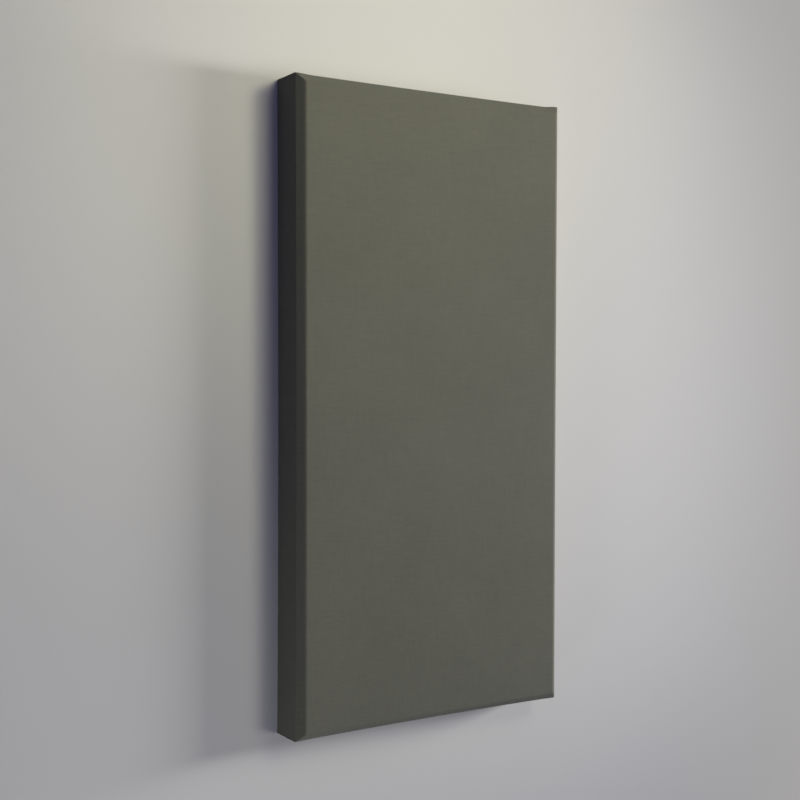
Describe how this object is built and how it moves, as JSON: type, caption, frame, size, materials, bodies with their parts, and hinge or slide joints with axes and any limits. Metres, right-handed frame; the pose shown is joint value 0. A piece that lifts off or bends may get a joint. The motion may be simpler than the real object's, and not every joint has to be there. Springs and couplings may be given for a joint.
{
  "type": "fabric acoustic wall panel",
  "caption": "Rectangular sound-absorbing wall panel: a fibre board with a bevelled face edge, wrapped in plain cloth that is turned over its back.",
  "frame": {"origin": "on the floor, under the middle of the panel's back", "axes": "+X across the width, +Y along the length towards the end that is uppermost when the panel stands on its short end, +Z through the thickness, out of the face"},
  "size_m": [0.6, 1.2, 0.082],
  "materials": {
    "cover_cloth": "matt plain-woven cloth, dark grey-olive",
    "fibre_board": "matt resin-bonded mineral fibre, natural buff"
  },
  "bodies": {
    "root": {"fabric_cover": "cover_cloth", "core_board": "fibre_board"}
  },
  "joints": []
}
